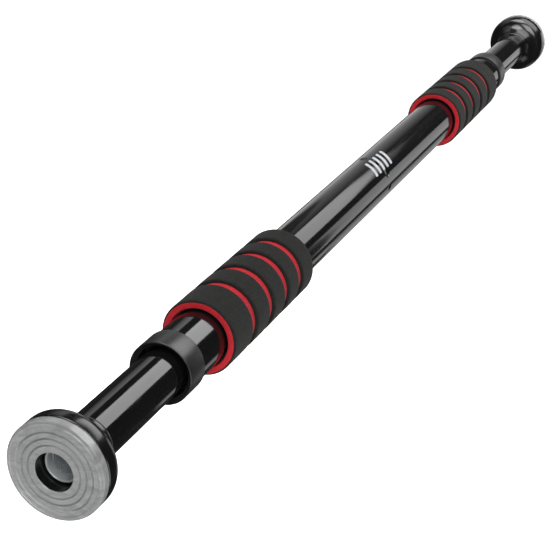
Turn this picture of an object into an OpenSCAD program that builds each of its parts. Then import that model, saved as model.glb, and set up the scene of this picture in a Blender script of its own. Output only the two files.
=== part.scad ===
// Telescopic doorway pull-up bar.
// The bar lies along X with its bore axis at Y = Z = 0. Each end of the outer tube carries an inner tube
// that screws out along a fixed spindle, and each inner tube turns in a round foot with a soft pad.

/* [Overall] */
// Length from pad face to pad face when both ends are screwed right in
closed_length = 700; // [695:1:830]
// Length from pad face to pad face when both ends reach their stops
open_length = 1000; // [900:1:1040]
// How far the left pad face stands out from its collar, as drawn
left_reach = 102.8; // [40:0.1:180]
// How far the right pad face stands out from its collar, as drawn
right_reach = 123.4; // [40:0.1:180]

/* [Outer tube] */
// Length over both collars
body_length = 627.6; // [560:0.1:640]
// Outside diameter of the outer tube
outer_d = 32; // [28:0.1:40]
// Wall of the outer tube
outer_wall = 1.2; // [0.8:0.1:1.5]
// Number of crimps that hold the centre plug
crimp_count = 10; // [3:1:12]
// Turn of the first crimp from the top, in degrees
crimp_phase = 24; // [0:1:60]
// Radius of the ball that forms each crimp
crimp_ball_r = 9; // [6:0.1:10]
// Depth of each crimp
crimp_depth = 0.8; // [0.4:0.1:1]

/* [Inner tubes] */
// Room all round between an inner tube and the bore of the outer tube
slide_gap = 2.1; // [1.2:0.1:3]
// Wall of each inner tube
inner_wall = 1.2; // [0.8:0.1:2]
// Room between an inner tube and the centre plug when screwed right in
closed_gap = 9.2; // [5:0.1:40]

/* [Collars] */
// Wall of the collar round each end of the outer tube
collar_wall = 1.15; // [0.8:0.05:5]
// Length of the collar
collar_length = 16; // [12:0.1:30]
// Thickness of the lip in front of the outer tube's end
collar_lip = 3; // [2:0.1:6]
// Room all round between the inner tube and the mouth in the lip
mouth_gap = 1.6; // [1.4:0.1:2]
// Radius of the rounded front edge
collar_edge_r = 1.2; // [0.5:0.1:1.6]

/* [Foam grips] */
// Thickness of the foam over the outer tube
foam_thick = 5.2; // [4:0.1:9]
// Length of each grip
grip_length = 112.4; // [100:0.1:130]
// Distance from the collar's back edge to the grip
grip_gap = 28.2; // [8:0.1:45]
// Depth of the grooves between the black bands
groove_depth = 1.9; // [1:0.1:2.5]
// Width of each groove
groove_width = 6.1; // [3:0.1:8]
// Width of the black band nearest the foot
first_band = 24; // [15:0.1:30]
// Width of the second band
second_band = 17.2; // [12:0.1:20]
// Width of the third band
third_band = 15.9; // [12:0.1:18]
// Width of the fourth band
fourth_band = 14.7; // [12:0.1:16]
// Width of the countersink in each end of the foam
flare_width = 2.3; // [1:0.1:3]
// Depth of that countersink
flare_depth = 6; // [3:0.1:10]
// Thickness of the bare core at each end of the foam
end_skin = 1.2; // [0.5:0.1:3]

/* [Spindles] */
// Outside diameter of the spindle thread
spindle_d = 15.8; // [12:0.1:18]
// Thread pitch, also the lead
thread_pitch = 6; // [4:0.5:8]
// Depth of the thread
thread_depth = 1; // [0.6:0.1:1.4]
// Diameter of the plain shank in the centre plug
shank_d = 12; // [9:0.1:13]
// Diameter of the cross pin through each shank
pin_d = 3; // [2:0.1:4]
// Length of the centre plug
plug_length = 40; // [32:1:46]

/* [Feet] */
// Outside diameter of the foot's rim
foot_d = 49.2; // [44:0.1:58]
// Depth from the pad face to the back edge of the rim
rim_depth = 12; // [10:0.1:16]
// Depth from the pad face to the end of the neck
neck_depth = 30.2; // [28:0.1:50]
// Wall at the end of the neck
neck_wall = 0.7; // [0.4:0.1:1.1]
// Diameter of the well in the middle of the foot
well_d = 19.2; // [17:0.1:22]
// Sweep of the rim's convex shoulder, in degrees
shoulder_sweep = 60; // [40:1:70]
// Radius of that shoulder
shoulder_r = 7.5; // [5:0.1:9]

/* [Pads] */
// How far the pad stands out past the rim of the foot, all round
pad_overhang = 0; // [0:0.1:2]
// Thickness of the pad at its rim
pad_thick = 6; // [5:0.1:8]
// Depth of the recessed face inside the rim
face_recess = 0.3; // [0:0.1:1]
// Radial distance from the edge of the well to the first ring groove
first_ring = 3.5; // [2:0.1:5]
// Radial distance from one ring groove to the next
ring_pitch = 3.1; // [2:0.1:5]
// Width of each ring groove
ring_width = 0.7; // [0.4:0.1:1.2]
// Depth of each ring groove
ring_depth = 0.4; // [0.2:0.1:0.8]

/* [Hidden] */
$fn = 96;

// clearances
cut = 1;             // how far a cutter runs past a face
turn_gap = 0.06;     // radial, tube in bush, ring in tube, nut on spindle
side_gap = 0.3;      // between flat faces that turn on each other

// radii that several pieces share
outer_r = outer_d / 2;
outer_bore = outer_r - outer_wall;
crimp_centre = outer_r - crimp_depth + crimp_ball_r;
inner_r = outer_bore - slide_gap;
inner_bore = inner_r - inner_wall;
grip_r = outer_r + foam_thick;
spindle_r = spindle_d / 2;
well_r = well_d / 2;

// places along the bar
body_half = body_length / 2;
tube_half = body_half - collar_lip;
tube_middle = (left_reach - right_reach) / 2;
open_reach = (open_length - body_length) / 2;
grip_outer_end = body_half - collar_length - grip_gap;

// black foam bands of set width, from the foot inwards; the last one fills what is left
band_widths = [first_band, second_band, third_band, fourth_band];

// step from the skin at each end of the foam up to the bands
end_step = 0.3;

// depths behind the pad face
well_floor = 13;     // seat of the insert
web_front = 17.5;
web_back = 20.5;
tube_end = web_back + side_gap;
inner_length = closed_length / 2 - tube_end - plug_length / 2 - closed_gap;

// inside the foot
neck_taper = 0.6;
neck_edge = 0.6;
boss_wall = 1.7;
boss_front = 2.8;
pocket_r = 8.2;
screw_r = 3;
screw_head_r = 5;
screw_head_h = 2.8;
screw_length = 18;
washer_t = 1;
washer_r = 7;
hex_socket_r = 2.3;
hex_socket_depth = 1.6;
end_plug_length = 18;
end_plug_hole = 17;

// stop at the end of the spindle
nut_length = 20;
nut_flange = 3;
stop_washer_t = 2.5;
stop_washer_gap = 0.7;
stop_washer_r = inner_bore - stop_washer_gap;
stop_screw_r = 2.5;
stop_screw_length = 14;
spindle_root = 4;    // bottom of the socket in the centre plug
thread_gap = 1;      // plain shank between the plug and the first thread
stop_face = body_half + open_reach - tube_end - inner_length + nut_length + side_gap;
slide_ring_length = 12;
bush_length = 14;
bush_inset = 12;

function reach(side) = side == "left" ? left_reach : right_reach;
function band_start(i) = i == 0 ? 0 : band_start(i - 1) + band_widths[i - 1] + groove_width;
function arc(centre, radius, from, to, steps) = [
    for (i = [0:steps])
        let (a = from + (to - from) * i / steps)
            [centre[0] + radius * cos(a), centre[1] + radius * sin(a)]
];

// Distance outwards from the middle of the outer tube runs along local Z
module on_side(side) {
    translate([tube_middle, 0, 0])
        if (side == "left") mirror([1, 0, 0]) rotate([0, 90, 0]) children();
        else rotate([0, 90, 0]) children();
}

// Depth behind the pad face runs along local Z
module behind_pad(side) {
    on_side(side) translate([0, 0, body_half + reach(side)]) mirror([0, 0, 1]) children();
}

// Distance inwards from the outer end of the grip runs along local Z
module along_grip(side) {
    on_side(side) translate([0, 0, grip_outer_end]) mirror([0, 0, 1]) children();
}

// A round sleeve or disc between two heights
module ring(r_out, r_in, z_from, z_to) {
    translate([0, 0, z_from]) difference() {
        cylinder(r = r_out, h = z_to - z_from);
        if (r_in > 0) translate([0, 0, -cut]) cylinder(r = r_in, h = z_to - z_from + 2 * cut);
    }
}

// ---- outer tube and what is fixed in it

module crimp_balls(radius) {
    for (i = [0:crimp_count - 1])
        rotate([crimp_phase + i * 360 / crimp_count, 0, 0])
            translate([0, 0, crimp_centre]) sphere(r = radius);
}

module outer_tube() {
    color("#0d0d0f") translate([tube_middle, 0, 0]) difference() {
        union() {
            rotate([0, 90, 0]) ring(outer_r, outer_bore, -tube_half, tube_half);
            intersection() {
                crimp_balls(crimp_ball_r + outer_wall);
                rotate([0, 90, 0]) cylinder(r = outer_r, h = plug_length, center = true);
            }
        }
        crimp_balls(crimp_ball_r);
    }
}

module centre_plug() {
    bump_r = crimp_ball_r + outer_wall;
    crimp_groove_half = sqrt(pow(bump_r, 2) - pow(crimp_centre - outer_bore, 2)) + side_gap;
    crimp_groove_r = crimp_centre - bump_r - side_gap;
    color("#8f9296") on_side("right") difference() {
        translate([0, 0, -plug_length / 2]) cylinder(r = outer_bore, h = plug_length);
        ring(outer_bore + cut, crimp_groove_r, -crimp_groove_half, crimp_groove_half);
        for (end = [0, 1]) mirror([0, 0, end]) {
            translate([0, 0, spindle_root]) cylinder(d = shank_d, h = plug_length);
            cross_pin(2 * outer_r);
        }
    }
}

module cross_pin(length) {
    translate([0, 0, (spindle_root + plug_length / 2) / 2]) rotate([90, 0, 0])
        cylinder(d = pin_d, h = length, center = true);
}

module spindle_pins() {
    pin_sink = 0.6;
    pin_length = 2 * (outer_bore - pin_sink);
    color("#b9bcc0") {
        on_side("left") cross_pin(pin_length);
        on_side("right") cross_pin(pin_length);
    }
}

module spindle(side) {
    thread_start = plug_length / 2 + thread_gap;
    thread_end = stop_face;
    turns = floor((thread_end - thread_start) / thread_pitch);
    root_r = spindle_r - thread_depth;
    flank = thread_pitch / 6;
    tooth = thread_pitch / 3;
    outline = concat(
        [[0, spindle_root], [shank_d / 2, spindle_root], [shank_d / 2, thread_start], [root_r, thread_start]],
        [for (i = [0:turns - 1], p = [
            [root_r, flank], [spindle_r, 2 * flank], [spindle_r, 2 * flank + tooth], [root_r, 3 * flank + tooth]
        ]) [p[0], thread_start + i * thread_pitch + p[1]]],
        [[root_r, thread_end], [0, thread_end]]
    );
    color("#b4b7bb") on_side(side) difference() {
        rotate_extrude() polygon(outline);
        cross_pin(3 * spindle_d);
        translate([0, 0, thread_end - stop_screw_length])
            cylinder(r = stop_screw_r, h = stop_screw_length + cut);
    }
}

module stop_washer(side) {
    color("#c3c5c8") on_side(side) ring(stop_washer_r, stop_screw_r, stop_face, stop_face + stop_washer_t);
}

// Cap screw with its head on +Z and its shank running down from z = 0
module cap_screw(shank_r, shank_length, head_r, head_h) {
    difference() {
        union() {
            translate([0, 0, -shank_length]) cylinder(r = shank_r, h = shank_length);
            cylinder(r = head_r, h = head_h);
        }
        translate([0, 0, head_h - hex_socket_depth])
            cylinder(r = hex_socket_r, h = hex_socket_depth + cut, $fn = 6);
    }
}

module stop_screw(side) {
    color("#9b9ea2") on_side(side) translate([0, 0, stop_face + stop_washer_t])
        cap_screw(stop_screw_r, stop_washer_t + stop_screw_length, screw_head_r, screw_head_h);
}

module collar(side) {
    front = body_half;
    back = body_half - collar_length;
    mouth_r = inner_r + mouth_gap;
    collar_r = outer_r + collar_wall;
    back_edge = 0.4;
    mouth_edge = 0.6;
    outline = concat(
        [[outer_r, back], [collar_r - back_edge, back], [collar_r, back + back_edge]],
        arc([collar_r - collar_edge_r, front - collar_edge_r], collar_edge_r, 0, 90, 6),
        [[mouth_r + mouth_edge, front], [mouth_r, front - mouth_edge], [mouth_r, tube_half], [outer_r, tube_half]]
    );
    color("#3a3b3d") on_side(side) rotate_extrude() polygon(outline);
}

module guide_bush(side) {
    color("#d8d8d2") on_side(side)
        ring(outer_bore, inner_r + turn_gap, body_half - bush_inset - bush_length, body_half - bush_inset);
}

// ---- foam grips

module grip_core(side) {
    core_r = grip_r - groove_depth;
    lip_r = grip_r - end_step;
    flare_r = outer_r + flare_width;
    far = grip_length;
    outline = [
        [flare_r, 0], [lip_r, 0], [lip_r, end_skin], [core_r, end_skin],
        [core_r, far - end_skin], [lip_r, far - end_skin], [lip_r, far], [flare_r, far],
        [outer_r, far - flare_depth], [outer_r, flare_depth]
    ];
    color("#c22c33") along_grip(side) rotate_extrude() polygon(outline);
}

module grip_bands(side) {
    core_r = grip_r - groove_depth;
    last = len(band_widths);
    color("#2b2b2a") along_grip(side)
        for (i = [0:last])
            ring(
                grip_r, core_r,
                i == 0 ? end_skin : band_start(i),
                i == last ? grip_length - end_skin : band_start(i) + band_widths[i]
            );
}

// ---- inner tube and what turns with it

module inner_tube(side) {
    color("#0d0d0f") behind_pad(side) ring(inner_r, inner_bore, tube_end, tube_end + inner_length);
}

module spindle_nut(side) {
    inner_end = tube_end + inner_length;
    color("#c9a55a") behind_pad(side) difference() {
        union() {
            translate([0, 0, inner_end - nut_length]) cylinder(r = inner_bore, h = nut_length);
            translate([0, 0, inner_end]) cylinder(r = inner_r, h = nut_flange);
        }
        translate([0, 0, inner_end - nut_length - cut])
            cylinder(r = spindle_r + turn_gap, h = nut_length + nut_flange + 2 * cut);
    }
}

module slide_ring(side) {
    inner_end = tube_end + inner_length;
    color("#d8d8d2") behind_pad(side)
        ring(outer_bore - turn_gap, inner_r, inner_end - slide_ring_length, inner_end);
}

module end_plug(side) {
    color("#26272a") behind_pad(side) difference() {
        translate([0, 0, tube_end]) cylinder(r = inner_bore, h = end_plug_length);
        translate([0, 0, tube_end - cut]) cylinder(r = screw_r, h = end_plug_hole + cut);
    }
}

module foot_screw(side) {
    color("#9b9ea2") behind_pad(side)
        translate([0, 0, web_front - side_gap - washer_t]) mirror([0, 0, 1])
            cap_screw(screw_r, screw_length, screw_head_r, screw_head_h);
}

module foot_washer(side) {
    color("#c3c5c8") behind_pad(side)
        ring(washer_r, screw_r, web_front - side_gap - washer_t, web_front - side_gap);
}

// ---- feet

module flange(side) {
    rim_r = foot_d / 2;
    rim_edge = 0.8;
    shoulder_centre = [rim_r - shoulder_r, rim_depth - rim_edge];
    shoulder = arc(shoulder_centre, shoulder_r, 0, shoulder_sweep, 8);
    shoulder_end = shoulder[len(shoulder) - 1];
    neck_bore = inner_r + turn_gap;
    neck_end_r = inner_r + neck_wall;
    neck_start_r = neck_end_r + neck_taper;
    fillet_r = min(
        (shoulder_end[0] - neck_start_r) / (1 - cos(shoulder_sweep)),
        (neck_depth - neck_edge - shoulder_end[1]) / sin(shoulder_sweep)
    );
    fillet_centre = shoulder_end + fillet_r * [cos(shoulder_sweep), sin(shoulder_sweep)];
    fillet = arc(fillet_centre, fillet_r, 180 + shoulder_sweep, 180, 8);
    outline = concat(
        [[well_r, boss_front], [well_r + boss_wall, boss_front], [well_r + boss_wall, pad_thick]],
        [[rim_r - rim_edge, pad_thick], [rim_r, pad_thick + rim_edge]],
        shoulder,
        [for (i = [1:len(fillet) - 1]) fillet[i]],
        [[neck_end_r, neck_depth], [neck_bore, neck_depth], [neck_bore, web_back]],
        [[screw_r + side_gap, web_back], [screw_r + side_gap, web_front], [pocket_r, web_front]],
        [[pocket_r, well_floor], [well_r, well_floor]]
    );
    color("#101012") behind_pad(side) rotate_extrude() polygon(outline);
}

module pad(side) {
    pad_r = foot_d / 2 + pad_overhang;
    bevel = 1.1;
    back_bevel = 0.5;
    rim_land = 1.5;
    seat = 1;
    face_r = pad_r - bevel - rim_land;
    first_ring_r = well_r + first_ring;
    rings = floor((face_r - ring_width - first_ring_r) / ring_pitch);
    outline = concat(
        [[foot_d / 2 - seat, pad_thick], [pad_r - back_bevel, pad_thick]],
        [[pad_r, pad_thick - back_bevel], [pad_r, bevel]],
        [[pad_r - bevel, 0], [face_r, 0], [face_r, face_recess]],
        [for (i = [rings:-1:0], p = [
            [ring_width / 2, face_recess], [0, face_recess + ring_depth], [-ring_width / 2, face_recess]
        ]) [first_ring_r + i * ring_pitch + p[0], p[1]]],
        [[well_r, face_recess], [well_r, boss_front], [well_r + boss_wall, boss_front]],
        [[well_r + boss_wall, pad_thick]]
    );
    color("#c4c5c6", 0.9) behind_pad(side) rotate_extrude() polygon(outline);
}

module well_insert(side) {
    cup_gap = 0.8;
    cup_wall = 1;
    cup_depth = 4.4;
    floor_thick = 1.2;
    cup_r = well_r - cup_gap;
    cup_floor = well_floor - floor_thick;
    cup_rim = cup_floor - cup_depth;
    color("#b6b8ba", 0.8) behind_pad(side) rotate_extrude() polygon([
        [0, cup_floor], [cup_r - cup_wall, cup_floor], [cup_r - cup_wall, cup_rim], [cup_r, cup_rim],
        [cup_r, cup_floor], [well_r, cup_floor], [well_r, well_floor], [0, well_floor]
    ]);
}

outer_tube();
centre_plug();
spindle_pins();
spindle("left");  // left_spindle
spindle("right");  // right_spindle
stop_washer("left");  // left_stop_washer
stop_washer("right");  // right_stop_washer
stop_screw("left");  // left_stop_screw
stop_screw("right");  // right_stop_screw
collar("left");  // left_collar
collar("right");  // right_collar
guide_bush("left");  // left_guide_bush
guide_bush("right");  // right_guide_bush
grip_core("left");  // left_grip_core
grip_core("right");  // right_grip_core
grip_bands("left");  // left_grip_bands
grip_bands("right");  // right_grip_bands
inner_tube("left");  // left_inner_tube
inner_tube("right");  // right_inner_tube
spindle_nut("left");  // left_spindle_nut
spindle_nut("right");  // right_spindle_nut
slide_ring("left");  // left_slide_ring
slide_ring("right");  // right_slide_ring
end_plug("left");  // left_end_plug
end_plug("right");  // right_end_plug
foot_screw("left");  // left_foot_screw
foot_screw("right");  // right_foot_screw
foot_washer("left");  // left_foot_washer
foot_washer("right");  // right_foot_washer
flange("left");  // left_flange
flange("right");  // right_flange
pad("left");  // left_pad
pad("right");  // right_pad
well_insert("left");  // left_well_insert
well_insert("right");  // right_well_insert
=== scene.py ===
import math
import bpy
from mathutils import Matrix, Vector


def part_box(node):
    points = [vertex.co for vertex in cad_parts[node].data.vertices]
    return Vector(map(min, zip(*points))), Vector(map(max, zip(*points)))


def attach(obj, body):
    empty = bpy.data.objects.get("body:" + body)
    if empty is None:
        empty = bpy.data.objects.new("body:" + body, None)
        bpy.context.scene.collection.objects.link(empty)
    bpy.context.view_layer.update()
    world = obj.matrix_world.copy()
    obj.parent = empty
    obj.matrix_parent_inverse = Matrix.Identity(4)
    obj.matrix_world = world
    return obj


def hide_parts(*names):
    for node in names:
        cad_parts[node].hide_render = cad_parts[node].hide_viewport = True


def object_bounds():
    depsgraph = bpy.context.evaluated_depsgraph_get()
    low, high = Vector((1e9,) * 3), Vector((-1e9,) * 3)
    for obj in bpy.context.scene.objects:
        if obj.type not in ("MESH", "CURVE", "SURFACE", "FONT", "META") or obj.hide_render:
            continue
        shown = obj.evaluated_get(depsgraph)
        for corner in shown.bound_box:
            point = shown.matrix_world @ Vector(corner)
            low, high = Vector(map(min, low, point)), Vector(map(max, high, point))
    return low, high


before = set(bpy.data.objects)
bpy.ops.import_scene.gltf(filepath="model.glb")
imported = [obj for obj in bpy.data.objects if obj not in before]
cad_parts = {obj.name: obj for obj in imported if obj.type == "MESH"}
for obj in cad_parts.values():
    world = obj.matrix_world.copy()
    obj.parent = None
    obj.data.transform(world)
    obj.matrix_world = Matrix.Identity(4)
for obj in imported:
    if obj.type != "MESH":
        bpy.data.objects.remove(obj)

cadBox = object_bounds()
mm = 0.001
print("frame loaded,", len(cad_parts), "nodes")


# ---- places, all taken from the frame

def lowX(node):
    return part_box(node)[0][0]


def highX(node):
    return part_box(node)[1][0]


def inwardsFrom(side, part):
    # distance in mm from the part's outer end towards the middle -> place along the bar
    if side == "left":
        outerEnd = lowX("left_" + part)
        return lambda depth: outerEnd + depth * mm
    outerEnd = highX("right_" + part)
    return lambda depth: outerEnd - depth * mm


# ---- modelling helpers

def deselectAll():
    if bpy.context.object and bpy.context.object.mode != "OBJECT":
        bpy.ops.object.mode_set(mode="OBJECT")
    bpy.ops.object.select_all(action="DESELECT")


def arcPoints(depth, radius, bend, fromDeg, toDeg, steps):
    # round stretch of a section: bend is its radius about a centre at (depth, radius); 0 degrees points away
    # from the bar's axis, and 90 along the bar towards its middle
    points = []
    for i in range(steps + 1):
        a = math.radians(fromDeg + (toDeg - fromDeg) * i / steps)
        points.append((depth + bend * math.sin(a), radius + bend * math.cos(a)))
    return points


def splitLong(section, longest):
    # long straights get rings in between, so that foam can dent there
    points = []
    for (d0, r0), (d1, r1) in zip(section, section[1:] + section[:1]):
        parts = max(1, math.ceil(math.hypot(d1 - d0, r1 - r0) / longest))
        for i in range(parts):
            points.append((d0 + (d1 - d0) * i / parts, r0 + (r1 - r0) * i / parts))
    return points


def namePiece(piece, name):
    piece.name = name
    piece.data.name = name
    return piece


def turnOnBar(name, section, place, around=128, solid=False, smoothDeg=32):
    # section: (distance along the bar, radius) in mm, walked ring by ring round the bar's axis
    deselectAll()
    rings = [(place(d), r * mm) for d, r in section]
    if not solid:
        rings.append(rings[0])
    startX, startR = rings[0]
    bpy.ops.mesh.primitive_circle_add(vertices=around, radius=startR, location=(startX, 0, 0),
                                      rotation=(0, math.pi / 2, 0), fill_type="NGON" if solid else "NOTHING")
    piece = bpy.context.object
    bpy.ops.object.transform_apply(location=True, rotation=True, scale=True)
    bpy.ops.object.mode_set(mode="EDIT")
    bpy.ops.mesh.select_mode(type="VERT")
    bpy.ops.mesh.select_all(action="SELECT")
    for (x0, r0), (x1, r1) in zip(rings, rings[1:]):
        bpy.ops.mesh.extrude_region_move(TRANSFORM_OT_translate={"value": (x1 - x0, 0, 0)})
        bpy.ops.transform.resize(value=(1, r1 / r0, r1 / r0), center_override=(x1, 0, 0))
    bpy.ops.mesh.select_all(action="SELECT")
    bpy.ops.mesh.remove_doubles(threshold=1e-6)
    bpy.ops.mesh.normals_make_consistent(inside=False)
    bpy.ops.object.mode_set(mode="OBJECT")
    bpy.ops.object.shade_smooth_by_angle(angle=math.radians(smoothDeg))
    return namePiece(piece, name)


def joinPieces(name, pieces):
    deselectAll()
    for piece in pieces:
        piece.select_set(True)
    bpy.context.view_layer.objects.active = pieces[0]
    bpy.ops.object.join()
    return namePiece(bpy.context.object, name)


def applyModifier(piece, kind, **settings):
    deselectAll()
    piece.select_set(True)
    bpy.context.view_layer.objects.active = piece
    modifier = piece.modifiers.new(kind.title(), kind)
    for key, value in settings.items():
        setattr(modifier, key, value)
    bpy.ops.object.modifier_apply(modifier=modifier.name)


def finishPiece(piece, material, body, slot, *nodes):
    piece.data.materials.clear()
    piece.data.materials.append(material)
    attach(piece, body)
    if nodes:
        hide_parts(*nodes)


# ---- material helpers; the world's nodes are added in the same way

def toLinear(hexColour):
    channels = []
    for i in (1, 3, 5):
        c = int(hexColour[i:i + 2], 16) / 255
        channels.append(c / 12.92 if c <= 0.04045 else ((c + 0.055) / 1.055) ** 2.4)
    return (*channels, 1)


def addNode(material, kind, settings=None, links=None):
    # settings: attribute or input socket -> value, or "stops" -> the two ends of a ramp
    # links: input socket -> output socket
    node = material.node_tree.nodes.new(kind)
    for key, value in (settings or {}).items():
        if key == "stops":
            for element, (position, colour) in zip(node.color_ramp.elements, value):
                element.position, element.color = position, toLinear(colour)
        elif isinstance(key, int) or key in node.inputs:
            node.inputs[key].default_value = value
        else:
            setattr(node, key, value)
    for key, output in (links or {}).items():
        material.node_tree.links.new(output, node.inputs[key])
    return node


def newMaterial(name, **sockets):
    material = bpy.data.materials.new(name)
    material.use_nodes = True
    shader = material.node_tree.nodes["Principled BSDF"]
    for key, value in sockets.items():
        shader.inputs[key.replace("_", " ")].default_value = value
    return material, shader


def barCoordinates(material, stretch=(1, 1, 1)):
    coords = addNode(material, "ShaderNodeTexCoord")
    mapping = addNode(material, "ShaderNodeMapping", {"Scale": stretch}, {"Vector": coords.outputs["Object"]})
    return mapping.outputs["Vector"]


def radiusSocket(material):
    # distance from the bar's axis, in metres
    coords = addNode(material, "ShaderNodeTexCoord")
    split = addNode(material, "ShaderNodeSeparateXYZ", links={0: coords.outputs["Object"]})
    flat = addNode(material, "ShaderNodeCombineXYZ", links={1: split.outputs["Y"], 2: split.outputs["Z"]})
    length = addNode(material, "ShaderNodeVectorMath", {"operation": "LENGTH"}, {0: flat.outputs[0]})
    return length.outputs["Value"]


def connect(material, output, socket):
    material.node_tree.links.new(output, socket)


def wireShader(material, shader, tint=None, rough=None, bump=None):
    for node, output, socket in ((tint, "Color", "Base Color"), (rough, "Result", "Roughness"),
                                 (bump, "Normal", "Normal")):
        if node:
            connect(material, node.outputs[output], shader.inputs[socket])
    return material


# ---- materials

def glossEnamel(name, smoothest, dullest):
    # Stoved black enamel on steel: deep black, mirror-like on the tube and a little softer on the pressed
    # feet, with a trace of orange peel and hairline rubs
    material, shader = newMaterial(name, Base_Color=toLinear("#0a0a0b"), IOR=1.52)
    peel = addNode(material, "ShaderNodeTexNoise", {"Scale": 1 / (2.4 * mm), "Detail": 2.0},
                   {"Vector": barCoordinates(material)})
    rubs = addNode(material, "ShaderNodeTexNoise", {"Scale": 1 / (0.9 * mm), "Detail": 3.0, "Roughness": 0.6},
                   {"Vector": barCoordinates(material, (0.02, 1, 1))})
    rough = addNode(material, "ShaderNodeMapRange",
                    {"From Min": 0.35, "From Max": 0.8, "To Min": smoothest, "To Max": dullest},
                    {"Value": rubs.outputs["Fac"]})
    bump = addNode(material, "ShaderNodeBump", {"Strength": 0.05, "Distance": 0.1 * mm},
                   {"Height": peel.outputs["Fac"]})
    return wireShader(material, shader, rough=rough, bump=bump)


def slidTubeEnamel():
    # The same enamel where the collar slides over it: fine lengthwise scratches and a few dull scuffs
    material, shader = newMaterial("slidTubeEnamel", IOR=1.52)
    scratches = addNode(material, "ShaderNodeTexNoise",
                        {"Scale": 1 / (0.5 * mm), "Detail": 4.0, "Roughness": 0.7},
                        {"Vector": barCoordinates(material, (0.012, 1, 1))})
    scuffs = addNode(material, "ShaderNodeTexNoise",
                     {"Scale": 1 / (14 * mm), "Detail": 6.0, "Roughness": 0.65},
                     {"Vector": barCoordinates(material, (0.4, 1, 1))})
    tint = addNode(material, "ShaderNodeValToRGB", {"stops": ((0.62, "#0a0a0b"), (0.74, "#232325"))},
                   {"Fac": scratches.outputs["Fac"]})
    rough = addNode(material, "ShaderNodeMapRange",
                    {"From Min": 0.5, "From Max": 0.75, "To Min": 0.07, "To Max": 0.2},
                    {"Value": scuffs.outputs["Fac"]})
    bump = addNode(material, "ShaderNodeBump", {"Strength": 0.06, "Distance": 0.1 * mm},
                   {"Height": scratches.outputs["Fac"]})
    return wireShader(material, shader, tint, rough, bump)


def mouldedAbs():
    # Injection-moulded black ABS: satin, a soft broad highlight and a fine spark-eroded grain
    material, shader = newMaterial("mouldedAbs", IOR=1.54)
    grain = addNode(material, "ShaderNodeTexNoise", {"Scale": 1 / (0.5 * mm), "Detail": 3.0},
                    {"Vector": barCoordinates(material)})
    tint = addNode(material, "ShaderNodeValToRGB", {"stops": ((0.3, "#161617"), (0.7, "#1e1e1f"))},
                   {"Fac": grain.outputs["Fac"]})
    rough = addNode(material, "ShaderNodeMapRange",
                    {"From Min": 0.3, "From Max": 0.7, "To Min": 0.3, "To Max": 0.4},
                    {"Value": grain.outputs["Fac"]})
    bump = addNode(material, "ShaderNodeBump", {"Strength": 0.12, "Distance": 0.05 * mm},
                   {"Height": grain.outputs["Fac"]})
    return wireShader(material, shader, tint, rough, bump)


def nitrileFoam(name, dark, light, poreMm, poreDepthMm):
    # Closed-cell nitrile foam, ground to shape: dead matt, with cut cells that read as fine specks
    material, shader = newMaterial(name, Roughness=0.95, IOR=1.25, Sheen_Weight=0.03, Sheen_Roughness=0.5)
    pores = addNode(material, "ShaderNodeTexVoronoi", {"Scale": 1 / (poreMm * mm), "feature": "F1"},
                    {"Vector": barCoordinates(material)})
    mottle = addNode(material, "ShaderNodeTexNoise",
                     {"Scale": 1 / (2.2 * mm), "Detail": 5.0, "Roughness": 0.7},
                     {"Vector": barCoordinates(material)})
    mix = addNode(material, "ShaderNodeMath", {"operation": "MULTIPLY"},
                  {0: pores.outputs["Distance"], 1: mottle.outputs["Fac"]})
    tint = addNode(material, "ShaderNodeValToRGB", {"stops": ((0.05, dark), (0.5, light))},
                   {"Fac": mix.outputs[0]})
    bump = addNode(material, "ShaderNodeBump", {"Strength": 0.6, "Distance": poreDepthMm * mm},
                   {"Height": mix.outputs[0]})
    return wireShader(material, shader, tint, bump=bump)


def blackFoam():
    return nitrileFoam("blackNitrileFoam", "#10100f", "#20201f", 0.7, 0.2)


def redFoam():
    # The red layer, with its countersink darkened towards the tube by painted shade, standing in for the
    # shade in the narrow gap round the tube
    material = nitrileFoam("redNitrileFoam", "#8e1820", "#ab2129", 0.7, 0.15)
    shader = material.node_tree.nodes["Principled BSDF"]
    foamTint = shader.inputs["Base Color"].links[0].from_socket
    # painted shade: within 17.4 mm of the axis the red is multiplied down to near black, where the
    # countersink falls into the gap round the tube
    paintedCountersinkShade = addNode(material, "ShaderNodeMapRange",
                   {"From Min": 16.7 * mm, "From Max": 17.4 * mm, "To Min": 0.02, "To Max": 1.0},
                   {"Value": radiusSocket(material)})
    shade = addNode(material, "ShaderNodeMix", {"data_type": "RGBA", "blend_type": "MULTIPLY", "Factor": 1.0})
    connect(material, foamTint, shade.inputs[6])
    connect(material, paintedCountersinkShade.outputs["Result"], shade.inputs[7])
    connect(material, shade.outputs[2], shader.inputs["Base Color"])
    return material


def smokyRubber():
    # Clear thermoplastic rubber gone smoky: half of it is see-through, so it darkens over the black foot
    # and lights up where there is nothing behind; streaky from the mould, satin face
    material, shader = newMaterial("smokyRubber", IOR=1.45, Transmission_Weight=0.55)
    streaks = addNode(material, "ShaderNodeTexNoise",
                      {"Scale": 1 / (5 * mm), "Detail": 5.0, "Distortion": 1.2},
                      {"Vector": barCoordinates(material, (1, 0.5, 1.4))})
    grain = addNode(material, "ShaderNodeTexNoise", {"Scale": 1 / (0.7 * mm), "Detail": 3.0},
                    {"Vector": barCoordinates(material)})
    tint = addNode(material, "ShaderNodeValToRGB", {"stops": ((0.3, "#a6a7a7"), (0.7, "#c4c5c5"))},
                   {"Fac": streaks.outputs["Fac"]})
    rough = addNode(material, "ShaderNodeMapRange",
                    {"From Min": 0.3, "From Max": 0.7, "To Min": 0.1, "To Max": 0.22},
                    {"Value": grain.outputs["Fac"]})
    bump = addNode(material, "ShaderNodeBump", {"Strength": 0.12, "Distance": 0.05 * mm},
                   {"Height": grain.outputs["Fac"]})
    return wireShader(material, shader, tint, rough, bump)


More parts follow.
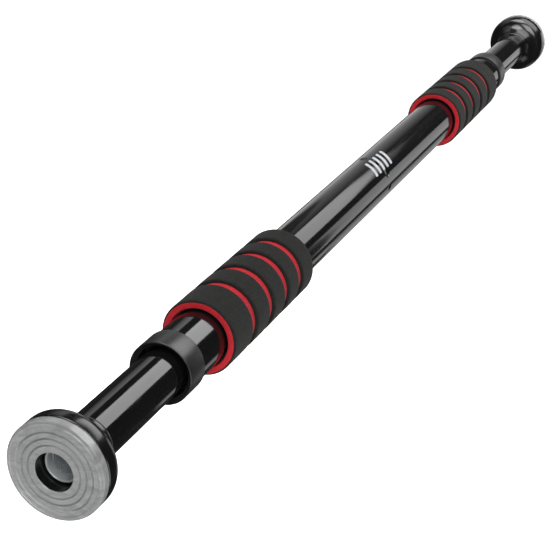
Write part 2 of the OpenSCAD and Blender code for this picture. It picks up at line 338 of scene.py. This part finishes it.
def clearStyrene(name, body, clear):
    # Clear injection-moulded polystyrene: bright edges, a faint grey body and flow ripples
    material, shader = newMaterial(name, Base_Color=toLinear(body), IOR=1.57, Transmission_Weight=clear,
                                   Roughness=0.12)
    ripple = addNode(material, "ShaderNodeTexNoise", {"Scale": 1 / (1.6 * mm), "Detail": 2.0},
                     {"Vector": barCoordinates(material)})
    bump = addNode(material, "ShaderNodeBump", {"Strength": 0.2, "Distance": 0.1 * mm},
                   {"Height": ripple.outputs["Fac"]})
    return wireShader(material, shader, bump=bump)


def zincPlate():
    # Bright zinc-plated steel: pale, faintly blue, spangled and a little cloudy
    material, shader = newMaterial("zincPlate", Metallic=1.0)
    spangle = addNode(material, "ShaderNodeTexVoronoi", {"Scale": 1 / (1.5 * mm)},
                      {"Vector": barCoordinates(material)})
    cloud = addNode(material, "ShaderNodeTexNoise", {"Scale": 1 / (3 * mm), "Detail": 4.0},
                    {"Vector": barCoordinates(material)})
    tint = addNode(material, "ShaderNodeValToRGB", {"stops": ((0.3, "#9fa5ab"), (0.7, "#c9cdd1"))},
                   {"Fac": cloud.outputs["Fac"]})
    rough = addNode(material, "ShaderNodeMapRange", {"To Min": 0.22, "To Max": 0.42},
                    {"Value": spangle.outputs["Distance"]})
    return wireShader(material, shader, tint, rough)


def blackOxide():
    # Black-oxided screw steel: dark, oily sheen, browner where it has rubbed
    material, shader = newMaterial("blackOxide", Metallic=1.0)
    wear = addNode(material, "ShaderNodeTexNoise", {"Scale": 1 / (1.2 * mm), "Detail": 5.0},
                   {"Vector": barCoordinates(material)})
    tint = addNode(material, "ShaderNodeValToRGB", {"stops": ((0.45, "#2a2b2d"), (0.75, "#5a5650"))},
                   {"Fac": wear.outputs["Fac"]})
    rough = addNode(material, "ShaderNodeMapRange",
                    {"To Min": 0.28, "To Max": 0.5},
                    {"Value": wear.outputs["Fac"]})
    return wireShader(material, shader, tint, rough)


def castZincAlloy():
    # Die-cast zinc alloy: dull grey skin with a coarse, slightly pitted grain
    material, shader = newMaterial("castZincAlloy", Metallic=1.0)
    grain = addNode(material, "ShaderNodeTexNoise",
                    {"Scale": 1 / (0.8 * mm), "Detail": 5.0, "Roughness": 0.7},
                    {"Vector": barCoordinates(material)})
    tint = addNode(material, "ShaderNodeValToRGB", {"stops": ((0.3, "#6f7276"), (0.7, "#94979b"))},
                   {"Fac": grain.outputs["Fac"]})
    rough = addNode(material, "ShaderNodeMapRange",
                    {"To Min": 0.45, "To Max": 0.7},
                    {"Value": grain.outputs["Fac"]})
    bump = addNode(material, "ShaderNodeBump", {"Strength": 0.4, "Distance": 0.1 * mm},
                   {"Height": grain.outputs["Fac"]})
    return wireShader(material, shader, tint, rough, bump)


def turnedBrass():
    # Free-cutting brass, turned: warm yellow with fine tool rings round the axis
    material, shader = newMaterial("turnedBrass", Metallic=1.0)
    rings = addNode(material, "ShaderNodeTexNoise", {"Scale": 1 / (0.4 * mm), "Detail": 2.0},
                    {"Vector": barCoordinates(material, (1, 0.05, 0.05))})
    tint = addNode(material, "ShaderNodeValToRGB", {"stops": ((0.3, "#a8843c"), (0.7, "#d0ab62"))},
                   {"Fac": rings.outputs["Fac"]})
    rough = addNode(material, "ShaderNodeMapRange",
                    {"To Min": 0.2, "To Max": 0.4},
                    {"Value": rings.outputs["Fac"]})
    bump = addNode(material, "ShaderNodeBump", {"Strength": 0.3, "Distance": 0.05 * mm},
                   {"Height": rings.outputs["Fac"]})
    return wireShader(material, shader, tint, rough, bump)


def nylon(name, dark, light, glow):
    # Moulded nylon: waxy, light soaks in a little, faint flow marks
    material, shader = newMaterial(name, IOR=1.53, Subsurface_Weight=glow, Subsurface_Scale=1 * mm)
    flow = addNode(material, "ShaderNodeTexNoise",
                   {"Scale": 1 / (2.5 * mm), "Detail": 4.0, "Distortion": 0.6},
                   {"Vector": barCoordinates(material)})
    tint = addNode(material, "ShaderNodeValToRGB", {"stops": ((0.3, dark), (0.7, light))},
                   {"Fac": flow.outputs["Fac"]})
    rough = addNode(material, "ShaderNodeMapRange",
                    {"To Min": 0.35, "To Max": 0.5},
                    {"Value": flow.outputs["Fac"]})
    return wireShader(material, shader, tint, rough)


def printInk():
    # White pad-print ink: a thin satin film with pinholes where the black shows through
    material, shader = newMaterial("printInk", Roughness=0.4)
    holes = addNode(material, "ShaderNodeTexNoise", {"Scale": 1 / (0.5 * mm), "Detail": 3.0},
                    {"Vector": barCoordinates(material)})
    tint = addNode(material, "ShaderNodeValToRGB", {"stops": ((0.35, "#6f7276"), (0.5, "#a9acaf"))},
                   {"Fac": holes.outputs["Fac"]})
    return wireShader(material, shader, tint)


finishes = {
    "enamelled_tube": glossEnamel("tubeEnamel", 0.07, 0.16),
    "enamelled_flange": glossEnamel("footEnamel", 0.17, 0.26),
    "slid_tube": slidTubeEnamel(),
    "collar_plastic": mouldedAbs(),
    "black_foam": blackFoam(),
    "red_foam": redFoam(),
    "clear_pad": smokyRubber(),
    "clear_insert": clearStyrene("clearStyrene", "#c9cdcf", 0.55),
    # the floor lies right on the black foot, so it reads darker than the cup's wall
    "clear_floor": clearStyrene("clearStyreneFloor", "#808486", 0.0),
    "zinc_steel": zincPlate(),
    "black_steel_screw": blackOxide(),
    "cast_plug": castZincAlloy(),
    "brass_nut": turnedBrass(),
    "nylon": nylon("naturalNylon", "#c9c8bf", "#dedcd4", 0.2),
    "black_nylon": nylon("blackNylon", "#1b1c1e", "#29292b", 0.0),
    "print_ink": printInk(),
}
print("materials ready")


# ---- CAD nodes that keep their shape

nodeFinish = {
    "outer_tube": "enamelled_tube",
    "centre_plug": "cast_plug",
    "spindle_pins": "zinc_steel",
    "spindle": "zinc_steel",
    "stop_washer": "zinc_steel",
    "stop_screw": "black_steel_screw",
    "guide_bush": "black_nylon",
    "inner_tube": "slid_tube",
    "spindle_nut": "brass_nut",
    "slide_ring": "nylon",
    "end_plug": "black_nylon",
    "foot_screw": "black_steel_screw",
    "foot_washer": "zinc_steel",
}
for node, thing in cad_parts.items():
    kind = node.removeprefix("left_").removeprefix("right_")
    if kind in nodeFinish:
        for slot in thing.material_slots:
            slot.material = finishes[nodeFinish[kind]]
print("frame nodes dressed")


# ---- feet

flangeShape = {
    "rimR": 24.6, "padSeat": 6, "rimEdge": 0.8, "rimDepth": 12, "shoulderR": 7.5, "shoulderSweep": 64,
    "neckStartR": 13.5, "neckEndR": 13.2, "neckDepth": 30.2, "neckLip": 0.3, "boreR": 12.76,
    "wellR": 9.6, "bossR": 11.3, "bossFront": 0.8, "wellFloor": 13, "webFront": 17.5, "webBack": 20.5,
    "pocketR": 8.2, "screwHoleR": 3.3,
}


def flangeSection(s):
    shoulder = arcPoints(s["rimDepth"] - s["rimEdge"], s["rimR"] - s["shoulderR"], s["shoulderR"],
                         0, s["shoulderSweep"], 14)
    sweep = math.radians(s["shoulderSweep"])
    endD, endR = shoulder[-1]
    filletR = (endR - s["neckStartR"]) / (1 - math.cos(sweep))
    fillet = arcPoints(endD + filletR * math.sin(sweep), endR + filletR * math.cos(sweep), filletR,
                       180 + s["shoulderSweep"], 180, 16)[1:]
    e = s["rimEdge"]
    edge = arcPoints(s["padSeat"] + e, s["rimR"] - e, e, -90, 0, 4)
    lip = s["neckLip"]
    return [
        (s["bossFront"], s["wellR"] + lip), (s["bossFront"], s["bossR"]), (s["padSeat"], s["bossR"]),
        *edge, *shoulder, *fillet,
        (s["neckDepth"] - lip, s["neckEndR"]), (s["neckDepth"], s["neckEndR"] - lip),
        (s["neckDepth"], s["boreR"]), (s["webBack"], s["boreR"]), (s["webBack"], s["screwHoleR"]),
        (s["webFront"], s["screwHoleR"]), (s["webFront"], s["pocketR"]), (s["wellFloor"], s["pocketR"]),
        (s["wellFloor"], s["wellR"]), (s["bossFront"] + lip, s["wellR"]),
    ]


padShape = {
    "padR": 24.6, "thick": 6, "backEdge": 0.5, "bevel": 1.1, "rimLand": 1.5, "recess": 0.3,
    "ringsR": (19.3, 16.2, 13.1), "ringWidth": 1.0, "ringDepth": 0.9, "wellR": 9.6, "bossR": 11.3,
    "bossFront": 0.8, "backR": 23.6, "teeth": 150, "toothDepth": 0.3, "toothBand": 0.4, "sideMiddle": 3.2,
    "notch": (0.2, 0.5, 0.3), "bevelStep": 0.4, "stepFront": 0.66, "frontEdge": 0.25,
    "landSlope": (0.2, 0.1), "ringFloor": 0.2, "wellEdge": 0.2,
}


def padSection(s):
    front = s["padR"] - s["bevel"]
    notchFront, notchBack, notchDeep = s["notch"]
    side = [(s["thick"], s["backR"]), (s["thick"], s["padR"] - s["backEdge"]),
            (s["thick"] - s["backEdge"], s["padR"]), (s["sideMiddle"], s["padR"]),
            (s["bevel"] + notchBack, s["padR"]), (s["bevel"] + notchFront, s["padR"] - notchDeep),
            (s["bevel"], front - s["bevelStep"]), (s["stepFront"], front - s["bevelStep"]),
            (s["frontEdge"], front), (0, front - s["frontEdge"])]
    landInner = front - s["rimLand"]
    slopeFront, slopeBack = s["landSlope"]
    land = [(0, landInner + slopeFront), (s["recess"], landInner - slopeBack)]
    rings = []
    half, floorHalf = s["ringWidth"] / 2, s["ringFloor"] / 2
    deep = s["recess"] + s["ringDepth"]
    for r in s["ringsR"]:
        rings += [(s["recess"], r + half), (deep, r + floorHalf),
                  (deep, r - floorHalf), (s["recess"], r - half)]
    well = [(s["recess"], s["wellR"] + s["wellEdge"]), (s["recess"] + s["wellEdge"], s["wellR"]),
            (s["bossFront"], s["wellR"]), (s["bossFront"], s["bossR"]), (s["thick"], s["bossR"])]
    return [*side, *land, *rings, *well]


def cutTeeth(pad, place, s):
    # every other line of the side is drawn in, which leaves moulded serrations all round
    deselectAll()
    pitch = math.pi / s["teeth"]
    face = place(0)
    for vertex in pad.data.vertices:
        r = math.hypot(vertex.co.y, vertex.co.z)
        line = round(math.atan2(vertex.co.z, vertex.co.y) / pitch) % 2
        depth = abs(vertex.co.x - face)
        onSide = r > (s["padR"] - s["toothBand"]) * mm and depth < (s["thick"] - s["backEdge"] / 2) * mm
        vertex.select = onSide and line == 1
    for edge in pad.data.edges:
        edge.select = False
    for polygon in pad.data.polygons:
        polygon.select = False
    pad.select_set(True)
    bpy.context.view_layer.objects.active = pad
    bpy.ops.object.mode_set(mode="EDIT")
    bpy.ops.mesh.select_mode(type="VERT")
    shrink = 1 - s["toothDepth"] / s["padR"]
    bpy.ops.transform.resize(value=(1, shrink, shrink), center_override=(0, 0, 0))
    bpy.ops.object.mode_set(mode="OBJECT")


insertShape = {"wellR": 9.6, "cupR": 8.8, "cupWall": 1.0, "edge": 0.25, "rim": 7.4, "floor": 11.8, "back": 13,
               "cellMm": 1.1, "cellRib": 0.34, "floorThick": 0.9, "pocketDeep": 0.72, "cellsInside": 0.7}


def insertCup(name, place, s):
    edge = s["edge"]
    base = s["floor"] + s["floorThick"]
    section = [(base, s["cupR"] - s["cupWall"]), (s["rim"] + edge, s["cupR"] - s["cupWall"]),
               (s["rim"], s["cupR"] - s["cupWall"] + edge), (s["rim"], s["cupR"] - edge),
               (s["rim"] + edge, s["cupR"]), (base, s["cupR"]), (base, s["wellR"]),
               (s["back"], s["wellR"])]
    return turnOnBar(name, section, place, around=96, solid=True)


def insertGrid(name, place, s):
    # the cup's floor carries a waffle of small square pockets
    deselectAll()
    inner = s["cupR"] - s["cupWall"]
    cells = 2 * math.ceil(inner / s["cellMm"])
    bpy.ops.mesh.primitive_grid_add(x_subdivisions=cells, y_subdivisions=cells, size=cells * s["cellMm"] * mm,
                                    location=(place(s["floor"]), 0, 0), rotation=(0, math.pi / 2, 0))
    grid = bpy.context.object
    bpy.ops.object.transform_apply(location=True, rotation=True, scale=True)
    bpy.ops.object.mode_set(mode="EDIT")
    bpy.ops.mesh.select_mode(type="FACE")
    bpy.ops.mesh.select_all(action="DESELECT")
    bpy.ops.object.mode_set(mode="OBJECT")
    farthest = (inner - s["cellMm"] * s["cellsInside"]) * mm
    for face in grid.data.polygons:
        face.select = math.hypot(face.center.y, face.center.z) > farthest
    bpy.ops.object.mode_set(mode="EDIT")
    bpy.ops.mesh.delete(type="FACE")
    bpy.ops.mesh.select_all(action="SELECT")
    top = place(s["floor"])
    deeper = place(s["floorThick"]) - place(0)
    bpy.ops.mesh.extrude_region_move(TRANSFORM_OT_translate={"value": (deeper, 0, 0)})
    bpy.ops.mesh.select_all(action="SELECT")
    bpy.ops.mesh.normals_make_consistent(inside=False)
    bpy.ops.mesh.select_all(action="DESELECT")
    bpy.ops.object.mode_set(mode="OBJECT")
    for face in grid.data.polygons:
        face.select = abs(face.center.x - top) < 0.01 * mm
    bpy.ops.object.mode_set(mode="EDIT")
    bpy.ops.mesh.inset(thickness=s["cellRib"] / 2 * mm, depth=0, use_individual=True)
    bpy.ops.transform.translate(value=(deeper * s["pocketDeep"] / s["floorThick"], 0, 0))
    bpy.ops.object.mode_set(mode="OBJECT")
    return namePiece(grid, name)


for side in ("left", "right"):
    behindPad = inwardsFrom(side, "pad")
    flange = turnOnBar(side + "FlangeShell", flangeSection(flangeShape), behindPad, around=160)
    finishPiece(flange, finishes["enamelled_flange"], side + "_foot", "enamelled_flange", side + "_flange")
    pad = turnOnBar(side + "PadRing", padSection(padShape), behindPad,
                    around=2 * padShape["teeth"], smoothDeg=40)
    cutTeeth(pad, behindPad, padShape)
    finishPiece(pad, finishes["clear_pad"], side + "_foot", "clear_pad", side + "_pad")
    cup = insertCup(side + "WellCup", behindPad, insertShape)
    finishPiece(cup, finishes["clear_insert"], side + "_foot", "clear_insert", side + "_well_insert")
    grid = insertGrid(side + "WellGrid", behindPad, insertShape)
    finishPiece(grid, finishes["clear_floor"], side + "_foot", "clear_insert")
print("feet made")


# ---- collars

collarShape = {"length": 16, "lip": 3, "outerR": 17.15, "edgeR": 0.5, "backEdge": 0.4,
               "mouthR": 14.3, "mouthDeep": 2.3, "mouthEdge": 0.3, "tubeR": 16.0}


def collarSection(s):
    front = arcPoints(s["edgeR"], s["outerR"] - s["edgeR"], s["edgeR"], 0, -90, 8)
    # the front face slopes in like a shallow funnel down to the mouth
    mouth = [(s["mouthDeep"] - s["mouthEdge"], s["mouthR"] + s["mouthEdge"]), (s["mouthDeep"], s["mouthR"])]
    back = arcPoints(s["length"] - s["backEdge"], s["outerR"] - s["backEdge"], s["backEdge"], 90, 0, 4)
    return [(s["length"], s["tubeR"]), *back, *front, *mouth, (s["lip"], s["mouthR"]), (s["lip"], s["tubeR"])]


for side in ("left", "right"):
    behindFront = inwardsFrom(side, "collar")
    collar = turnOnBar(side + "CollarShell", collarSection(collarShape), behindFront)
    finishPiece(collar, finishes["collar_plastic"], "main_bar", "collar_plastic", side + "_collar")
print("collars made")


# ---- foam grips

gripShape = {"gripR": 21.2, "coreR": 19.3, "tubeR": 16.0, "lipR": 20.3, "flareR": 17.0, "flareDepth": 3,
             "flareEdge": (0.25, 0.1, 0.3), "endSkin": 1.2, "bandStart": 0.15, "length": 112.4,
             "bands": (24, 17.2, 15.9, 14.7), "groove": 6.1, "bandEdge": 1.1, "endEdge": 0.5, "ringStep": 2.0,
             "coreStep": 12, "dentMm": 0.16, "dentSizeMm": 7}


def coreSection(s):
    # the end from the flare's mouth to the step up to the bands, and the same again from the far end
    e = s["endEdge"]
    corner = e * 0.3    # about where a rounded edge passes
    edgeDepth, edgeIn, edgeOut = s["flareEdge"]
    end = [
        (edgeDepth, s["flareR"] - edgeIn), (0, s["flareR"] + edgeOut), (0, s["lipR"] - e),
        (corner, s["lipR"] - corner), (e, s["lipR"]), (s["endSkin"], s["lipR"]), (s["endSkin"], s["coreR"]),
    ]
    farEnd = [(s["length"] - d, r) for d, r in reversed(end)]
    return [*end, *farEnd, (s["length"] - s["flareDepth"], s["tubeR"]), (s["flareDepth"], s["tubeR"])]


def bandSpans(s):
    spans = []
    start = 0
    for width in s["bands"]:
        spans.append((max(start, s["bandStart"]), start + width))
        start += width + s["groove"]
    spans.append((start, s["length"] - s["bandStart"]))
    return spans


def bandSection(start, end, s):
    e = s["bandEdge"]
    nearArc = arcPoints(start + e, s["gripR"] - e, e, -90, 0, 5)
    farArc = arcPoints(end - e, s["gripR"] - e, e, 0, 90, 5)
    return [(start, s["coreR"]), *nearArc, *farArc, (end, s["coreR"])]


dents = bpy.data.textures.new("foamDents", "CLOUDS")
dents.noise_scale = gripShape["dentSizeMm"] * mm
for side in ("left", "right"):
    inFromEnd = inwardsFrom(side, "grip_core")
    coreLine = splitLong(coreSection(gripShape), gripShape["coreStep"])
    core = turnOnBar(side + "GripCore", coreLine, inFromEnd)
    finishPiece(core, finishes["red_foam"], "main_bar", "red_foam", side + "_grip_core")
    bands = []
    for number, (start, end) in enumerate(bandSpans(gripShape), 1):
        section = splitLong(bandSection(start, end, gripShape), gripShape["ringStep"])
        bands.append(turnOnBar(f"{side}GripBand{number}", section, inFromEnd))
    grip = joinPieces(side + "GripBands", bands)
    applyModifier(grip, "DISPLACE", texture=dents, texture_coords="LOCAL", strength=gripShape["dentMm"] * mm,
                  mid_level=0.5)
    finishPiece(grip, finishes["black_foam"], "main_bar", "black_foam", side + "_grip_bands")
print("foam grips made")


# ---- printed mark

markShape = {"bars": 5, "pitch": 7.4, "barWidth": 3.4, "slant": 24, "fromDeg": 96, "toDeg": 140, "ink": 0.04,
             "gap": 0.01, "centre": 2, "sleeve": 60, "around": 360}


def inkBar(name, tubeX, tubeR, s):
    # a strip of thin sleeve, cut out between two half-planes along the tube and two slanted planes across it
    deselectAll()
    bpy.ops.mesh.primitive_cylinder_add(vertices=s["around"], radius=tubeR + s["gap"] * mm,
                                        depth=s["sleeve"] * mm, location=(tubeX, 0, 0),
                                        rotation=(0, math.pi / 2, 0), end_fill_type="NOTHING")
    bar = bpy.context.object
    bpy.ops.object.transform_apply(location=True, rotation=True, scale=True)
    low, high = math.radians(s["fromDeg"]), math.radians(s["toDeg"])
    middle = (low + high) / 2
    lean = math.radians(s["slant"])
    across = (math.cos(lean), -math.sin(middle) * math.sin(lean), math.cos(middle) * math.sin(lean))
    onTube = (tubeR * math.cos(middle), tubeR * math.sin(middle))
    half = s["barWidth"] / 2 * mm
    cuts = [
        ((0, 0, 0), (0, math.sin(low), -math.cos(low))),
        ((0, 0, 0), (0, -math.sin(high), math.cos(high))),
        ((tubeX - half, *onTube), tuple(-c for c in across)),
        ((tubeX + half, *onTube), across),
    ]
    bpy.ops.object.mode_set(mode="EDIT")
    for point, normal in cuts:
        bpy.ops.mesh.select_all(action="SELECT")
        bpy.ops.mesh.bisect(plane_co=point, plane_no=normal, clear_outer=True)
    bpy.ops.object.mode_set(mode="OBJECT")
    applyModifier(bar, "SOLIDIFY", thickness=s["ink"] * mm, offset=1)
    return namePiece(bar, name)


tubeMiddle = (lowX("outer_tube") + highX("outer_tube")) / 2
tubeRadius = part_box("outer_tube")[1][2]
inkBars = []
for i in range(markShape["bars"]):
    offset = markShape["centre"] + (i - (markShape["bars"] - 1) / 2) * markShape["pitch"]
    inkBars.append(inkBar(f"inkBar{i + 1}", tubeMiddle + offset * mm, tubeRadius, markShape))
mark = joinPieces("PrintedMark", inkBars)
finishPiece(mark, finishes["print_ink"], "main_bar", None)
print("mark printed")


# ---- studio

studio = {
    "floorDrop": 0.62, "floorSize": 14, "paperGlow": 0.92, "roomLight": 0.04, "cardAway": 0.6,
    "azimuth": -67.62, "elevation": 22.77, "lens": 94.27, "sensor": 36,
    "fromNearPad": (-0.46396, -0.29477, 0.32013),
}

deselectAll()
floorZ = cadBox[0][2] - studio["floorDrop"]
bpy.ops.mesh.primitive_plane_add(size=studio["floorSize"], location=(0, 0, floorZ))
floor = bpy.context.object
floor.name = "studioFloor"
paper, paperShader = newMaterial("paperSweep", Base_Color=toLinear("#f6f6f6"), Roughness=0.9)
paperShader.inputs["Emission Color"].default_value = (1, 1, 1, 1)
paperShader.inputs["Emission Strength"].default_value = studio["paperGlow"]
floor.data.materials.append(paper)
# the tubes mirror the cards below instead of the bright paper
floor.visible_glossy = False

world = bpy.data.worlds.new("studioWorld")
bpy.context.scene.world = world
world.use_nodes = True
dimRoom = world.node_tree.nodes["Background"]
dimRoom.inputs["Color"].default_value = (1, 1, 1, 1)
dimRoom.inputs["Strength"].default_value = studio["roomLight"]
# the paper behind the bar looks white, while the room adds next to no light of its own
whitePaper = addNode(world, "ShaderNodeBackground", {"Color": (1, 1, 1, 1), "Strength": 1})
lightPath = addNode(world, "ShaderNodeLightPath")
paperOrRoom = addNode(world, "ShaderNodeMixShader", links={
    0: lightPath.outputs["Is Camera Ray"], 1: dimRoom.outputs[0], 2: whitePaper.outputs[0]})
connect(world, paperOrRoom.outputs[0], world.node_tree.nodes["World Output"].inputs["Surface"])


def addSoftbox(name, place, aim, size, power):
    bpy.ops.object.light_add(type="AREA", location=place)
    light = bpy.context.object
    light.name = name
    light.data.shape = "RECTANGLE"
    light.data.size, light.data.size_y = size
    light.data.energy = power
    direction = light.location - type(light.location)(aim)
    light.rotation_euler = direction.to_track_quat("Z", "Y").to_euler()


def addCard(name, towardsDeg, wideDeg, fromX, toX, glow, fadeAt=0):
    # a glowing card beside the bar that only mirrors see; towardsDeg turns from +Y up to +Z, and a card with
    # fadeAt dims towards that edge of its width
    away = studio["cardAway"]
    a = math.radians(towardsDeg)
    place = ((fromX + toX) / 2, away * math.cos(a), away * math.sin(a))
    bpy.ops.mesh.primitive_plane_add(size=1, location=place, rotation=(a + math.pi / 2, 0, 0))
    card = bpy.context.object
    card.name = name
    card.scale = (toX - fromX, 2 * away * math.tan(math.radians(wideDeg / 2)), 1)
    material, shader = newMaterial(name + "Glow", Base_Color=(0, 0, 0, 1), Roughness=1.0)
    shader.inputs["Emission Color"].default_value = (1, 1, 1, 1)
    shader.inputs["Emission Strength"].default_value = glow
    if fadeAt:
        coords = addNode(material, "ShaderNodeTexCoord")
        split = addNode(material, "ShaderNodeSeparateXYZ", links={0: coords.outputs["Object"]})
        fade = addNode(material, "ShaderNodeMapRange",
                       {"From Min": -0.5 * fadeAt, "From Max": 0.5 * fadeAt, "To Min": glow, "To Max": 0.0},
                       {"Value": split.outputs["Y"]})
        connect(material, fade.outputs["Result"], shader.inputs["Emission Strength"])
    card.data.materials.append(material)
    card.visible_camera = False
    card.visible_diffuse = False
    card.visible_transmission = False
    card.visible_shadow = False


# two panels in a row beside the bar, where the near half of the tube mirrors them along its upper face
addSoftbox("longPanelNear", (0.46, -0.28, 0.56), (0.46, 0, 0), (0.58, 0.68), 5.3)
addSoftbox("longPanelFar", (1.01, -0.28, 0.56), (1.01, 0, 0), (0.52, 0.68), 2.7)
# behind the camera, so that it lights foam and pads and never shows in the tubes
addSoftbox("frontBank", (-1.9, -1.0, 1.5), (-0.2, 0, 0), (1.6, 1.6), 62)
addSoftbox("topBank", (-0.2, 0.3, 2.2), (0, 0, 0), (1.6, 1.2), 46)
# a streak and a wash along the far side of the tubes; along the near side a wash, a dark line and a strip
addCard("farStreak", 42, 34, 0.1, 0.8, 1.1, fadeAt=-1)
addCard("farWash", 39, 102, 1.0, 3.2, 1.0, fadeAt=1)
addCard("nearWash", 197, 46, 0.95, 3.2, 1.1)
addCard("nearStrip", 247, 20, 0.4, 0.95, 0.6)
addCard("edgeWash", 262, 50, 0.95, 3.2, 0.5)
# low on the near side, for the collar's sloping front
addCard("collarCard", 204, 44, -0.8, -0.35, 3.5)

bpy.ops.object.camera_add()
camera = bpy.context.object
camera.name = "studioCamera"
nearPad = (lowX("left_pad"), 0, 0)
camera.location = [a + b for a, b in zip(nearPad, studio["fromNearPad"])]
camera.rotation_euler = (math.radians(90 - studio["elevation"]), 0, math.radians(studio["azimuth"]))
camera.data.lens = studio["lens"]
camera.data.sensor_width = studio["sensor"]
bpy.context.scene.camera = camera
bpy.context.scene.view_settings.view_transform = "Standard"
print("studio set")
